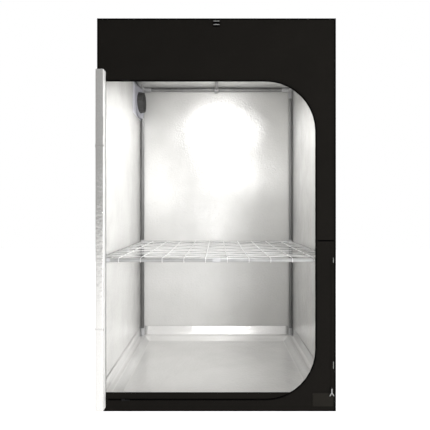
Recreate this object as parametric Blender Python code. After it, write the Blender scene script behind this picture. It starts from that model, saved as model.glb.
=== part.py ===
"""Indoor grow tent: a steel pole frame in a fabric skin, with a net shelf, a tray, a rolled door and a duct.

Metres, +Z up. The origin is at the centre of the base, on the ground, and the front faces -Y.
"""

import math

import bmesh
import bpy
from mathutils import Vector

# Whole tent
tent_width = 1.2
tent_depth = 1.2
tent_height = 1.976
fabric = 0.001
gap = 0.0003
overrun = 0.002

# Pole frame: every width of a tube is across its flats
tube_sides = 12
tube_width = 0.025
tube_wall = 0.0012
sleeve_wall = 0.0017
sleeve_reach = 0.07
sleeve_seat = 0.02
sleeve_back_share = 0.96
gusset_leg = 0.062
gusset_plate = 0.004
gusset_curve = 0.016
gusset_steps = 6

# Net shelf
net_height = 0.758
bar_width = 0.019
clip_height = 0.044
clip_reach = 0.045
clip_seat = 0.018
coupler_length = 0.04
coupler_wall = 0.0016
net_cords = 10
net_pitch = 0.11
cord_width = 0.005
cord_thickness = 0.004
hook_steps = 6

# Roof bar
hook_width = 0.03
hook_drop = 0.026
hook_block = 0.024

# Tray, which lies over the bottom rails, and front opening
tray_lip = 0.095
tray_slope = 0.04
tray_ease = 0.0084
door_left_margin = 0.044
door_right_margin = 0.103
door_header = 0.317
door_bottom = 0.062
door_corner = 0.25
door_corner_steps = 10

# Rolled door
roll_width = 0.0412
roll_bottom = 0.018
roll_overhang = 0.05
roll_turns = 13
roll_pitch = 0.00132
roll_fabric = 0.0007
roll_squareness = 5
roll_points = 16
tie_height = 0.009
tie_thickness = 0.001
tie_place_shares = {"upper": 0.776, "lower": 0.238}

# Zips
zip_width = 0.007
zip_thickness = 0.0015
zip_end_margin = 0.012
slider_length = 0.014
slider_width = 0.01
slider_depth = 0.005
slider_rest = 0.086
bridge_share = 0.5
pull_length = 0.034
pull_width = 0.006
pull_thickness = 0.0012

# Zip on the right margin of the front, with its fork-shaped pull and pale tabs
margin_zip_inset = 0.021
margin_strip_outer_inset = 0.01
margin_strip_inner_inset = 0.09
margin_zip_bottom = 0.1
margin_zip_top = 0.858
fork_top = 0.115
fork_bottom = 0.079
fork_spread = 0.02
fork_arm = 0.005
tab_inset = 0.0115
tab_width = 0.006
tab_bottoms = {"upper": 0.748, "lower": 0.214}
tab_heights = {"upper": 0.024, "lower": 0.036}
top_tab_width = 0.033
top_tab_height = 0.032
top_tab_drop = 0.009

# Duct port on the left wall: a flat patch, and on it a collar that leans off the wall towards the back
duct_back_inset = 0.1175
duct_drop = 0.143
duct_bore = 0.158
duct_reach = 0.05
duct_fabric = 0.0012
patch_near = 0.316
patch_drop = 0.261
collar_radius = 0.12
collar_back = 0.081
collar_lean = 0.0265
collar_fabric = 0.002
collar_steps = 8
flange_sides = 32
gathers = 16
gather_points = 4
gather_depth = 0.0018
gather_mouth_share = 0.93
gather_rings = 3

# Places that follow from the sizes above
half_width = tent_width / 2
half_depth = tent_depth / 2
skin_inside = fabric + gap
tray_inside = skin_inside + fabric + gap
sleeve_width = tube_width + 2 * (gap + sleeve_wall)
frame_inset = tray_inside + sleeve_width / 2
frame_x = half_width - frame_inset
frame_y = half_depth - frame_inset
frame_bottom = skin_inside + sleeve_width / 2
frame_top = tent_height - skin_inside - sleeve_width / 2
front = -half_depth
door_left = door_left_margin - half_width
door_right = half_width - door_right_margin
door_top = tent_height - door_header
roll_top = door_top + roll_overhang
margin_zip_x = half_width - margin_zip_inset
tab_x = half_width - tab_inset
duct_y = half_depth - duct_back_inset
duct_z = tent_height - duct_drop
duct_outer = duct_bore + 2 * duct_fabric
signs = {"left": -1, "right": 1, "front": -1, "back": 1, "bottom": 1, "top": -1}


def clear_scene():
    for obj in list(bpy.data.objects):
        bpy.data.objects.remove(obj, do_unlink=True)


def make_material(name, colour, roughness, metallic=0.0):
    material = bpy.data.materials.new(name)
    material.use_nodes = True
    shader = material.node_tree.nodes["Principled BSDF"]
    shader.inputs["Base Color"].default_value = (*colour, 1.0)
    shader.inputs["Roughness"].default_value = roughness
    shader.inputs["Metallic"].default_value = metallic
    return material


def add_object(name, bm, material, origin=(0, 0, 0)):
    """Makes a named object of the mesh, with its faces out and its own origin at the given point."""
    bmesh.ops.remove_doubles(bm, verts=bm.verts, dist=gap / 100)
    bmesh.ops.recalc_face_normals(bm, faces=bm.faces)
    bmesh.ops.translate(bm, verts=bm.verts, vec=-Vector(origin))
    mesh = bpy.data.meshes.new(name)
    bm.to_mesh(mesh)
    bm.free()
    mesh.shade_smooth()
    mesh.set_sharp_from_angle(angle=math.radians(32))
    mesh.materials.append(material)
    obj = bpy.data.objects.new(name, mesh)
    obj.location = origin
    bpy.context.collection.objects.link(obj)
    return obj


def boolean(target, tool, operation):
    """Joins or cuts the target with a hidden tool object."""
    tool.hide_render = True
    tool.display_type = "WIRE"
    modifier = target.modifiers.new(tool.name, "BOOLEAN")
    modifier.operation = operation
    modifier.object = tool
    modifier.solver = "EXACT"


def evaluated_mesh(obj, mirror=(1, 1, 1), shift=(0, 0, 0)):
    """A bmesh of the finished object, mirrored through the origin's planes and then moved."""
    bpy.context.view_layer.update()
    finished = obj.evaluated_get(bpy.context.evaluated_depsgraph_get())
    bm = bmesh.new()
    bm.from_mesh(finished.to_mesh())
    finished.to_mesh_clear()
    for vert in bm.verts:
        vert.co = Vector(vert.co[i] * mirror[i] + shift[i] for i in range(3))
    return bm


def box_mesh(low, high):
    bm = bmesh.new()
    bmesh.ops.create_cube(bm, size=1)
    low, high = Vector(low), Vector(high)
    for vert in bm.verts:
        vert.co = Vector(low[i] if vert.co[i] < 0 else high[i] for i in range(3))
    return bm


def add_box(name, low, high, material):
    return add_object(name, box_mesh(low, high), material)


def axis_point(axis, along, across, up):
    """A point given along an axis and on the two that follow it in turn."""
    point = [0, 0, 0]
    point[axis] = along
    point[(axis + 1) % 3] = across
    point[(axis + 2) % 3] = up
    return Vector(point)


def polygon(width, sides):
    """The corners of a regular outline with flats on its axes, given by its width across them."""
    radius = width / 2 / math.cos(math.pi / sides)
    turns = [2 * math.pi * (step + 0.5) / sides for step in range(sides)]
    return [(radius * math.cos(turn), radius * math.sin(turn)) for turn in turns]


def bridge(bm, rings, close=False):
    """Faces between rings of corners, with a cap at each end unless the last ring meets the first."""
    pairs = list(zip(rings, rings[1:])) + ([(rings[-1], rings[0])] if close else [])
    for first, second in pairs:
        count = len(first)
        for i in range(count):
            j = (i + 1) % count
            bm.faces.new((first[i], first[j], second[j], second[i]))
    if not close:
        bm.faces.new(rings[0])
        bm.faces.new(rings[-1])


def prism_mesh(outline, axis, start, end):
    """A solid of the outline, drawn on the two axes that follow the given one."""
    bm = bmesh.new()
    rings = []
    for along in (start, end):
        rings.append([bm.verts.new(axis_point(axis, along, *corner)) for corner in outline])
    bridge(bm, rings)
    return bm


def tube_mesh(axis, start, end, width, wall):
    """A hollow tube, open at both ends, about the given axis."""
    bm = bmesh.new()
    places = [(start, width), (end, width), (end, width - 2 * wall), (start, width - 2 * wall)]
    rings = [
        [bm.verts.new(axis_point(axis, along, *corner)) for corner in polygon(across, tube_sides)]
        for along, across in places
    ]
    bridge(bm, rings, close=True)
    return bm


def add_tube(name, axis, start, end, width, place, material):
    """A tube of the frame's wall, whose axis passes through the given place."""
    bm = tube_mesh(axis, start, end, width, tube_wall)
    bmesh.ops.translate(bm, verts=bm.verts, vec=place)
    return add_object(name, bm, material)


def rod(name, axis, start, end, width):
    """A solid helper of the tubes' outline, to join or cut with."""
    return add_object(name, prism_mesh(polygon(width, tube_sides), axis, start, end), tools)


def build_frame_tubes():
    start = sleeve_seat + gap
    for depth in ("front", "back"):
        for side in ("left", "right"):
            place = (signs[side] * frame_x, signs[depth] * frame_y, 0)
            name = f"upright_{depth}_{side}"
            add_tube(name, 2, frame_bottom + start, frame_top - start, tube_width, place, steel)
    for level, height in (("bottom", frame_bottom), ("top", frame_top)):
        for depth in ("front", "back"):
            reach = frame_x - start
            place = (0, signs[depth] * frame_y, height)
            add_tube(f"{level}_rail_{depth}", 0, -reach, reach, tube_width, place, steel)
        for side in ("left", "right"):
            reach = frame_y - start
            place = (signs[side] * frame_x, 0, height)
            add_tube(f"{level}_rail_{side}", 1, -reach, reach, tube_width, place, steel)


def gusset_outline():
    """A plate between two arms, with a hollow curve between its two tips."""
    points = [(0, 0), (gusset_leg, 0)]
    for step in range(1, gusset_steps):
        share = step / gusset_steps
        dip = gusset_curve * math.sin(math.pi * share) / math.sqrt(2)
        points.append((gusset_leg * (1 - share) - dip, gusset_leg * share - dip))
    points.append((0, gusset_leg))
    return points


def build_corner_pattern():
    """One three-way connector at the origin, with its arms along +X, +Y and +Z."""
    start = -sleeve_width / 2 * sleeve_back_share
    pattern = rod("corner_pattern", 0, start, sleeve_reach, sleeve_width)
    pattern.hide_render = True
    for axis in (1, 2):
        boolean(pattern, rod(f"corner_arm_{axis}", axis, start, sleeve_reach, sleeve_width), "UNION")
    half_plate = gusset_plate / 2
    for axis in range(3):
        plate = prism_mesh(gusset_outline(), axis, -half_plate, half_plate)
        boolean(pattern, add_object(f"gusset_{axis}", plate, tools), "UNION")
    for axis in range(3):
        bore = rod(f"corner_bore_{axis}", axis, sleeve_seat, sleeve_reach + overrun, tube_width + 2 * gap)
        boolean(pattern, bore, "DIFFERENCE")
    return pattern


def build_corners():
    pattern = build_corner_pattern()
    for level, height in (("bottom", frame_bottom), ("top", frame_top)):
        for depth in ("front", "back"):
            for side in ("left", "right"):
                mirror = (-signs[side], -signs[depth], signs[level])
                shift = (signs[side] * frame_x, signs[depth] * frame_y, height)
                mesh = evaluated_mesh(pattern, mirror, shift)
                add_object(f"corner_{level}_{depth}_{side}", mesh, plastic)


def build_clip_pattern():
    """A clip at the origin: a sleeve that slides on an upright, with sockets for two bars."""
    half = clip_height / 2
    socket_width = bar_width + 2 * (gap + sleeve_wall)
    pattern = rod("clip_pattern", 2, -half, half, sleeve_width)
    pattern.hide_render = True
    for axis in (0, 1):
        boolean(pattern, rod(f"clip_socket_{axis}", axis, 0, clip_reach, socket_width), "UNION")
        bar_bore = rod(f"clip_bore_{axis}", axis, clip_seat, clip_reach + overrun, bar_width + 2 * gap)
        boolean(pattern, bar_bore, "DIFFERENCE")
    upright_bore = rod("clip_upright_bore", 2, -half - overrun, half + overrun, tube_width + 2 * gap)
    boolean(pattern, upright_bore, "DIFFERENCE")
    return pattern


def build_net_frame():
    pattern = build_clip_pattern()
    for depth in ("front", "back"):
        for side in ("left", "right"):
            mirror = (-signs[side], -signs[depth], 1)
            shift = (signs[side] * frame_x, signs[depth] * frame_y, net_height)
            add_object(f"net_clip_{depth}_{side}", evaluated_mesh(pattern, mirror, shift), plastic)
    start = clip_seat + gap
    half = coupler_length / 2
    coupler_width = bar_width + 2 * (gap + coupler_wall)
    bars = {
        "front": (0, frame_x - start, (0, -frame_y, net_height)),
        "back": (0, frame_x - start, (0, frame_y, net_height)),
        "left": (1, frame_y - start, (-frame_x, 0, net_height)),
        "right": (1, frame_y - start, (frame_x, 0, net_height)),
    }
    for name, (axis, reach, place) in bars.items():
        add_tube(f"net_bar_{name}", axis, -reach, reach, bar_width, place, steel)
        coupler = tube_mesh(axis, -half, half, coupler_width, coupler_wall)
        bmesh.ops.translate(coupler, verts=coupler.verts, vec=place)
        add_object(f"net_coupler_{name}", coupler, plastic)


def hook_path(reach):
    """Middle line of a cord's end, over its bar and down its far side, with the way that the cord faces."""
    step_turn = math.pi / hook_steps
    bar_radius = math.hypot(*polygon(bar_width, tube_sides)[0])
    radius = (bar_radius + gap) / math.cos(step_turn / 2) + cord_thickness / 2
    for step in range(hook_steps + 1):
        turn = step * step_turn
        yield reach + radius * math.sin(turn), radius * math.cos(turn), math.sin(turn), math.cos(turn)


def net_ring(bm, axis, along, across, up, out_along, out_up):
    """Four corners of a cord's section. Its thickness lies along the way that the section faces."""
    corners = []
    for side, rise in ((-1, -1), (1, -1), (1, 1), (-1, 1)):
        level = rise * cord_thickness / 2
        point = [0, 0, up + level * out_up]
        point[axis] = along + level * out_along
        point[1 - axis] = across + side * cord_width / 2
        corners.append(bm.verts.new(point))
    return corners


def net_side_faces(bm, first, second):
    for i in range(4):
        j = (i + 1) % 4
        bm.faces.new((first[i], first[j], second[j], second[i]))


def build_net():
    """A square net: cords both ways, fused where they cross, with each end hooked over its bar."""
    bm = bmesh.new()
    half = cord_width / 2
    places = [(i - (net_cords - 1) / 2) * net_pitch for i in range(net_cords)]
    reaches = (frame_x, frame_y)
    lift = list(hook_path(0))[0][1]
    level = net_height + lift
    for x in places:
        for y in places:
            for up in (level - cord_thickness / 2, level + cord_thickness / 2):
                corners = [(x - half, y - half, up), (x + half, y - half, up), (x + half, y + half, up)]
                bm.faces.new([bm.verts.new(corner) for corner in corners + [(x - half, y + half, up)]])
    for axis in (0, 1):
        for across in places:
            for here, there in zip(places, places[1:]):
                start = net_ring(bm, axis, here + half, across, level, 0, 1)
                end = net_ring(bm, axis, there - half, across, level, 0, 1)
                net_side_faces(bm, start, end)
            for way in (-1, 1):
                rings = [net_ring(bm, axis, way * (places[-1] + half), across, level, 0, 1)]
                for along, up, out_along, out_up in hook_path(reaches[axis]):
                    place = (way * along, across, net_height + up)
                    rings.append(net_ring(bm, axis, *place, way * out_along, out_up))
                for first, second in zip(rings, rings[1:]):
                    net_side_faces(bm, first, second)
                bm.faces.new(rings[-1])
    add_object("net", bm, net_cord)


def hook_outline():
    """Section of a hook across its rail, which stands at the origin: the inside of the tent is at +Y."""
    top = sleeve_width / 2
    inner = top + hook_block
    return [(-top, 0), (-top, top), (inner, top), (inner, -top), (top, -hook_drop), (0, -hook_drop), (0, 0)]


def build_roof_bar():
    half = hook_width / 2
    top = sleeve_width / 2
    for depth in ("front", "back"):
        way = -signs[depth]
        outline = [(way * y + signs[depth] * frame_y, z + frame_top) for y, z in hook_outline()]
        hook = add_object(f"roof_bar_hook_{depth}", prism_mesh(outline, 0, -half, half), plastic)
        rail_bore = rod(f"hook_rail_bore_{depth}", 0, -half - overrun, half + overrun, tube_width + 2 * gap)
        rail_bore.location = (0, signs[depth] * frame_y, frame_top)
        boolean(hook, rail_bore, "DIFFERENCE")
        start = signs[depth] * (frame_y - top - sleeve_wall)
        end = start + way * (hook_block + overrun)
        socket = rod(f"hook_socket_{depth}", 1, start, end, bar_width + 2 * gap)
        socket.location = (0, 0, frame_top)
        boolean(hook, socket, "DIFFERENCE")
    reach = frame_y - top - sleeve_wall - gap
    add_tube("roof_bar", 1, -reach, reach, bar_width, (0, 0, frame_top), steel)


def opening_outline(grow=0.0):
    """The door opening, square at the left and round at the right, as points of X and Z."""
    low, high = door_bottom - grow, door_top + grow
    centre_x = door_right - door_corner
    radius = door_corner + grow
    points = [(door_left, low)]
    for centre_z, start in ((door_bottom + door_corner, -math.pi / 2), (door_top - door_corner, 0)):
        for step in range(door_corner_steps + 1):
            turn = start + math.pi / 2 * step / door_corner_steps
            points.append((centre_x + radius * math.cos(turn), centre_z + radius * math.sin(turn)))
    points.append((door_left, high))
    return points


def front_prism(outline, near, far):
    """A solid of an outline of X and Z, between two distances before the front plane."""
    return prism_mesh([(z, x) for x, z in outline], 1, front - far, front - near)


def build_skin():
    inner_x = half_width - skin_inside
    wall_bottom = skin_inside
    wall_top = tent_height - skin_inside
    add_box("floor_panel", (-half_width, -half_depth, 0), (half_width, half_depth, fabric), black_fabric)
    add_box(
        "roof_panel",
        (-half_width, -half_depth, tent_height - fabric),
        (half_width, half_depth, tent_height),
        black_fabric,
    )
    add_box(
        "right_panel",
        (half_width - fabric, -half_depth, wall_bottom),
        (half_width, half_depth, wall_top),
        black_fabric,
    )
    add_box(
        "back_panel",
        (-inner_x, half_depth - fabric, wall_bottom),
        (inner_x, half_depth, wall_top),
        black_fabric,
    )
    left_panel = add_box(
        "left_panel",
        (-half_width, -half_depth, wall_bottom),
        (fabric - half_width, half_depth, wall_top),
        black_fabric,
    )
    boolean(left_panel, duct_hole("duct_hole", overrun - half_width), "DIFFERENCE")
    front_panel = add_box(
        "front_panel", (-inner_x, front, wall_bottom), (inner_x, front + fabric, wall_top), black_fabric
    )
    opening = front_prism(opening_outline(), -fabric - overrun, overrun)
    boolean(front_panel, add_object("door_opening", opening, tools), "DIFFERENCE")


def tray_profile():
    """The tray's section as steps in from its edge and heights: under the sheet, up the lip, back on top."""
    cover = frame_bottom + sleeve_width / 2 + gap
    ledge = frame_inset + sleeve_width / 2 - skin_inside + tray_ease
    foot = ledge + tray_slope
    under = [(foot, skin_inside), (ledge, cover), (0, cover), (0, tray_lip)]
    raised = cover + fabric
    over = [(fabric, tray_lip), (fabric, raised), (ledge, raised), (foot, skin_inside + fabric)]
    return under + over


def notch_outline(way_x, way_y):
    """The tray's cut round an upright's foot and its two gussets, in the corner that the ways point to."""
    inner = sleeve_width / 2 + gap
    outer = inner + gap / 2
    slit = gusset_plate / 2 + gap
    reach = gusset_leg + gap
    half = [(-outer, -outer), (inner, -outer), (inner, -slit), (reach, -slit), (reach, slit), (inner, slit)]
    points = half + [(inner, inner)] + [(y, x) for x, y in half[:0:-1]]
    return [(way_x * (frame_x - x), way_y * (frame_y - y)) for x, y in points]


def build_tray():
    """A floor sheet that rises over the bottom rails to a low lip at the walls, cut for the uprights."""
    bm = bmesh.new()
    rings = []
    for inset, z in tray_profile():
        x, y = half_width - skin_inside - inset, half_depth - skin_inside - inset
        rings.append([bm.verts.new(corner) for corner in ((-x, -y, z), (x, -y, z), (x, y, z), (-x, y, z))])
    bridge(bm, rings)
    tray = add_object("floor_tray", bm, black_fabric)
    for way_x in (-1, 1):
        for way_y in (-1, 1):
            notch = prism_mesh(notch_outline(way_x, way_y), 2, -overrun, tray_lip + overrun)
            boolean(tray, add_object(f"tray_notch_{way_x}_{way_y}", notch, tools), "DIFFERENCE")


def roll_centre():
    """Middle of the roll: beside the door's seam, clear of the front by its ties."""
    clearance = tie_thickness + 2 * gap
    return door_left - tie_thickness - gap - roll_width / 2, front - clearance - roll_width / 2


def squared(value):
    """A cosine or sine drawn out towards a rounded square."""
    return math.copysign(abs(value) ** (2 / roll_squareness), value) if value else 0


def roll_path():
    """Middle line of the rolled fabric, from its core to the seam at the front panel."""
    centre_x, centre_y = roll_centre()
    outer = (roll_width - roll_fabric) / 2
    count = roll_turns * roll_points
    points = []
    for step in range(count + 1):
        turn = 2 * math.pi * (step % roll_points) / roll_points
        reach = outer - roll_pitch * (count - step) / roll_points
        x = squared(round(math.cos(turn), 9))
        y = squared(round(math.sin(turn), 9))
        points.append(Vector((centre_x + reach * x, centre_y + reach * y)))
    points.append(Vector((centre_x + outer, front - gap)))
    return points


def ribbon_outline(points, thickness):
    """The two edges of a ribbon of even thickness along a middle line, as one closed outline."""
    left, right = [], []
    for i, point in enumerate(points):
        before = (point - points[i - 1]).normalized() if i else None
        after = (points[i + 1] - point).normalized() if i + 1 < len(points) else None
        along = ((before or after) + (after or before)).normalized()
        lean = along.dot(before or after)
        side = Vector((-along.y, along.x)) * thickness / 2 / lean
        left.append(point + side)
        right.append(point - side)
    return left + right[::-1]


def ribbon_mesh(points, thickness, low, high):
    """An upright ribbon, closed by strips of four-sided faces."""
    outline = ribbon_outline(points, thickness)
    count = len(points)
    bm = bmesh.new()
    rings = [[bm.verts.new((corner.x, corner.y, z)) for corner in outline] for z in (low, high)]
    for i in range(2 * count):
        j = (i + 1) % (2 * count)
        bm.faces.new((rings[0][i], rings[0][j], rings[1][j], rings[1][i]))
    for ring in rings:
        for i in range(count - 1):
            bm.faces.new((ring[i], ring[i + 1], ring[-i - 2], ring[-i - 1]))
    return bm


def least_roll_gap():
    """The least clear distance between one turn of the roll and the next."""
    points = roll_path()
    least = roll_width
    for i in range(len(points) - roll_points - 1):
        along = (points[i + roll_points + 1] - points[i + roll_points]).normalized()
        offset = points[i] - points[i + roll_points]
        least = min(least, abs(offset.x * along.y - offset.y * along.x) - roll_fabric)
    return least


def build_door():
    roll = ribbon_mesh(roll_path(), roll_fabric, roll_bottom, roll_top)
    add_object("door_roll", roll, lining, (door_left, front - gap, 0))
    print(f"least gap between turns of the rolled door: {least_roll_gap() * 1000:.2f} mm")
    centre_x, centre_y = roll_centre()
    reach = roll_width / 2 + gap + tie_thickness / 2
    mouth = 4 * tie_thickness
    square = [(-reach, reach), (-reach, -reach), (reach, -reach)]
    path = [(reach - mouth, reach)] + square + [(reach, reach - mouth)]
    points = [Vector((centre_x + x, centre_y + y)) for x, y in path]
    for name, share in tie_place_shares.items():
        middle = roll_bottom + (roll_top - roll_bottom) * share
        low, high = middle - tie_height / 2, middle + tie_height / 2
        add_object(f"door_tie_{name}", ribbon_mesh(points, tie_thickness, low, high), tie_webbing)


def build_door_zip():
    inside = opening_outline()
    outside = opening_outline(zip_width)
    start = door_left + zip_end_margin
    inside[0], outside[0] = (start, door_bottom), (start, door_bottom - zip_width)
    inside[-1], outside[-1] = (start, door_top), (start, door_top + zip_width)
    bm = bmesh.new()
    rings = []
    for near, far in zip(inside, outside):
        places = ((near, gap), (far, gap), (far, gap + zip_thickness), (near, gap + zip_thickness))
        rings.append([bm.verts.new((x, front - out, z)) for (x, z), out in places])
    bridge(bm, rings)
    add_object("door_zip_tape", bm, zip_cloth)


def slider_mesh(length, width, depth):
    """A slider about the origin, long along X, whose front narrows to a bridge."""
    bm = bmesh.new()
    rings = []
    for out, share in ((0, 1), (depth / 2, 1), (depth, bridge_share)):
        x, z = length / 2 * share, width / 2 * share
        corners = ((-x, -out, -z), (x, -out, -z), (x, -out, z), (-x, -out, z))
        rings.append([bm.verts.new(corner) for corner in corners])
    bridge(bm, rings)
    return bm


def zip_layers():
    """Where a slider's back and its pull's middle lie, before the front plane."""
    back = zip_thickness + 2 * gap
    return front - back, front - back - slider_depth - gap - pull_thickness / 2


def build_door_sliders():
    """A slider near each open end of the zip, with a pull along the tape that turns on its bridge."""
    slider_y, pull_y = zip_layers()
    x = door_left + slider_rest
    half = pull_thickness / 2
    for name, z in (("upper", door_top + zip_width / 2), ("lower", door_bottom - zip_width / 2)):
        slider = slider_mesh(slider_length, slider_width, slider_depth)
        bmesh.ops.translate(slider, verts=slider.verts, vec=(x, slider_y, z))
        add_object(f"zip_slider_{name}", slider, zip_metal)
        low = (x - half, pull_y - half, z - pull_width / 2)
        high = (x + pull_length, pull_y + half, z + pull_width / 2)
        add_object(f"zip_pull_{name}", box_mesh(low, high), zip_metal, (x, pull_y, z))


def margin_zip_outline():
    """Tape up the margin, with a cross strip at its top."""
    half = zip_width / 2
    x = margin_zip_x
    outer, inner = half_width - margin_strip_outer_inset, half_width - margin_strip_inner_inset
    low, high = margin_zip_bottom, margin_zip_top
    return [
        (x - half, low),
        (x + half, low),
        (x + half, high - half),
        (outer, high - half),
        (outer, high + half),
        (inner, high + half),
        (inner, high - half),
        (x - half, high - half),
    ]


def fork_outline():
    """The fork-shaped pull: a stem that parts into two prongs, as points of X and Z."""
    half = fork_arm / 2
    spread = fork_spread / 2
    parting = (fork_top + fork_bottom) / 2
    right = [
        (half, fork_top + pull_thickness / 2),
        (half, parting),
        (spread + half, fork_bottom),
        (spread - half, fork_bottom),
    ]
    left = [(-x, z) for x, z in reversed(right)]
    return [(margin_zip_x + x, z) for x, z in right + [(0, parting - fork_arm)] + left]


def build_margin_zip():
    """A small zip on the right margin, with its slider at the foot, and pale tabs beside it."""
    slider_y, pull_y = zip_layers()
    add_object("margin_zip_tape", front_prism(margin_zip_outline(), gap, gap + zip_thickness), zip_cloth)
    slider = slider_mesh(slider_width, slider_length, slider_depth)
    bmesh.ops.translate(slider, verts=slider.verts, vec=(margin_zip_x, slider_y, fork_top))
    add_object("margin_zip_slider", slider, zip_metal)
    near = front - pull_y - pull_thickness / 2
    pull = front_prism(fork_outline(), near, near + pull_thickness)
    add_object("margin_zip_pull", pull, zip_metal, (margin_zip_x, pull_y, fork_top))
    for name, low in tab_bottoms.items():
        high = low + tab_heights[name]
        left, right = tab_x - tab_width / 2, tab_x + tab_width / 2
        tab = [(left, low), (right, low), (right, high), (left, high)]
        add_object(f"margin_tab_{name}", front_prism(tab, gap, gap + pull_thickness), pale_webbing)
    half = top_tab_width / 2
    high = tent_height - top_tab_drop
    low = high - top_tab_height
    tab = [(-half, low), (half, low), (half, high), (-half, high)]
    add_object("top_tab", front_prism(tab, gap, gap + zip_thickness), pale_webbing)


def duct_hole(name, end):
    """A helper that cuts the duct's hole inwards from the outside of the left wall to the given place."""
    hole = prism_mesh(polygon(duct_outer + 2 * gap, flange_sides), 0, -half_width - overrun, end)
    bmesh.ops.translate(hole, verts=hole.verts, vec=(0, duct_y, duct_z))
    return add_object(name, hole, tools)


def collar_outline():
    """The collar seen from inside, as points of Y and Z: round below, clear of the rail and gusset above."""
    near, far = duct_y - collar_radius, duct_y + collar_back
    top = frame_top - sleeve_width / 2 - gap
    gusset_line = frame_y + frame_top - gusset_leg - sleeve_width / 2
    last_turn = math.acos(collar_back / collar_radius)
    points = [(near, top)]
    for step in range(collar_steps + 1):
        turn = math.pi - (math.pi - last_turn) * step / collar_steps
        points.append((duct_y + collar_radius * math.cos(turn), duct_z - collar_radius * math.sin(turn)))
    return points + [(far, gusset_line - far), (gusset_line - top, top)]


def build_duct_flange():
    """A flat patch on the wall, and on it a collar that stands further off the wall towards the back."""
    wall = skin_inside - half_width
    near_y, back_y = half_depth - patch_near, half_depth - skin_inside
    low_z, high_z = tent_height - patch_drop, tent_height - skin_inside
    patch = add_box("duct_flange", (wall, near_y, low_z), (wall + fabric, back_y, high_z), flange_cloth)
    collar = prism_mesh(collar_outline(), 0, wall + gap, wall + gap + collar_fabric)
    near = duct_y - collar_radius
    for vert in collar.verts:
        vert.co.x += collar_lean * (vert.co.y - near) / (collar_radius + collar_back)
    boolean(patch, add_object("collar", collar, tools), "UNION")
    boolean(patch, duct_hole("flange_hole", wall + collar_lean + collar_fabric + overrun), "DIFFERENCE")


def build_duct_sleeve():
    """A short cloth tube through the wall, gathered towards its mouth."""
    bm = bmesh.new()
    count = gathers * gather_points
    rings = []
    for layer, order in ((0, 1), (duct_fabric, -1)):
        for ring in list(range(gather_rings + 1))[::order]:
            share = ring / gather_rings
            x = -half_width + (fabric + duct_reach) * share
            middle = duct_outer / 2 * (1 - (1 - gather_mouth_share) * share**2)
            corners = []
            for step in range(count):
                turn = 2 * math.pi * step / count
                radius = middle + gather_depth * share * (math.cos(gathers * turn) - 1) - layer
                y, z = duct_y + radius * math.cos(turn), duct_z + radius * math.sin(turn)
                corners.append(bm.verts.new((x, y, z)))
            rings.append(corners)
    bridge(bm, rings, close=True)
    add_object("duct_sleeve", bm, black_fabric)


clear_scene()
tools = make_material("tools", (0.5, 0.5, 0.5), 0.5)
black_fabric = make_material("black_fabric", (0.013, 0.012, 0.011), 0.7)
lining = make_material("reflective_lining", (0.78, 0.78, 0.8), 0.35, 0.3)
steel = make_material("painted_steel", (0.62, 0.62, 0.63), 0.35, 0.4)
plastic = make_material("connector_plastic", (0.6, 0.59, 0.66), 0.4)
net_cord = make_material("net_cord", (0.85, 0.85, 0.84), 0.6)
zip_cloth = make_material("zip_cloth", (0.004, 0.004, 0.004), 0.55)
zip_metal = make_material("zip_metal", (0.01, 0.01, 0.01), 0.4, 0.6)
pale_webbing = make_material("pale_webbing", (0.6, 0.6, 0.58), 0.7)
tie_webbing = make_material("tie_webbing", (0.7, 0.7, 0.72), 0.6)
flange_cloth = make_material("flange_cloth", (0.5, 0.49, 0.56), 0.5)

build_frame_tubes()
build_corners()
build_net_frame()
build_net()
build_roof_bar()
build_skin()
build_tray()
build_door()
build_door_zip()
build_door_sliders()
build_margin_zip()
build_duct_flange()
build_duct_sleeve()
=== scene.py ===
"""Looks of the indoor grow tent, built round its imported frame. Metres, +Z up; the open front faces -Y."""

import math

import bmesh
import bpy
import numpy as np
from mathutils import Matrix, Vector, noise


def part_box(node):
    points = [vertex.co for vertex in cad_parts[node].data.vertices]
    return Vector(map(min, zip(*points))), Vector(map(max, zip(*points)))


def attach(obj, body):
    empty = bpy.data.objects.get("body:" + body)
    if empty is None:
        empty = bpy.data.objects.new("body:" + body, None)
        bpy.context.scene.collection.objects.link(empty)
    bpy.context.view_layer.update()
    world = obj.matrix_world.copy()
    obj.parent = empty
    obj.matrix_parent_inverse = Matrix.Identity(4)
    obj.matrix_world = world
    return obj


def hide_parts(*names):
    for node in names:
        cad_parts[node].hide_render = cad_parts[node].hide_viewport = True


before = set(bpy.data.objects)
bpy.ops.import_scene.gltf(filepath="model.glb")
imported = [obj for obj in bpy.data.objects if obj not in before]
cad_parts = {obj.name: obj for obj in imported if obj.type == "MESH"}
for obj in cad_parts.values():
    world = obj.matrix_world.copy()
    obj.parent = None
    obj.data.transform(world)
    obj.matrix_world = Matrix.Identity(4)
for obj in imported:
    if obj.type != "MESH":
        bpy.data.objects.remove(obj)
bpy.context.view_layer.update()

# The photograph's frame and the camera's place in front of the tent
picture_width = 430
sensor = 36.0
camera_height = 1.01
camera_distance = 2.09
focal_pixels = 415.2
centre_right_pixels = 1.47
horizon_up_pixels = 4.5

# Cloth panels
cell = 0.03
clearance = 0.0003
wall_billow = 0.004
front_billow = 0.0025
floor_billow = 0.003
billow_margin = 0.1
header_still = 0.02
header_fade = 0.1
port_fade = 0.12
tray_rim = 0.08

# Edge binding
binding_width = 0.006
binding_thickness = 0.0007
binding_round_share = 0.6
binding_steps = 40
binding_ripple_share = 0.12

# Materials
cloud_scale = 5
thread_scale = 260
crease_scale = 9
dimple_scale = 70
worn_scale = 14
paint_grain_scale = 900
roughness_spread = 0.06
film_roughness = 0.2
film_pitch = 0.009
film_metallic = 0.35
rolled_metallic = 0.9
grain_share = 0.6

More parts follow.
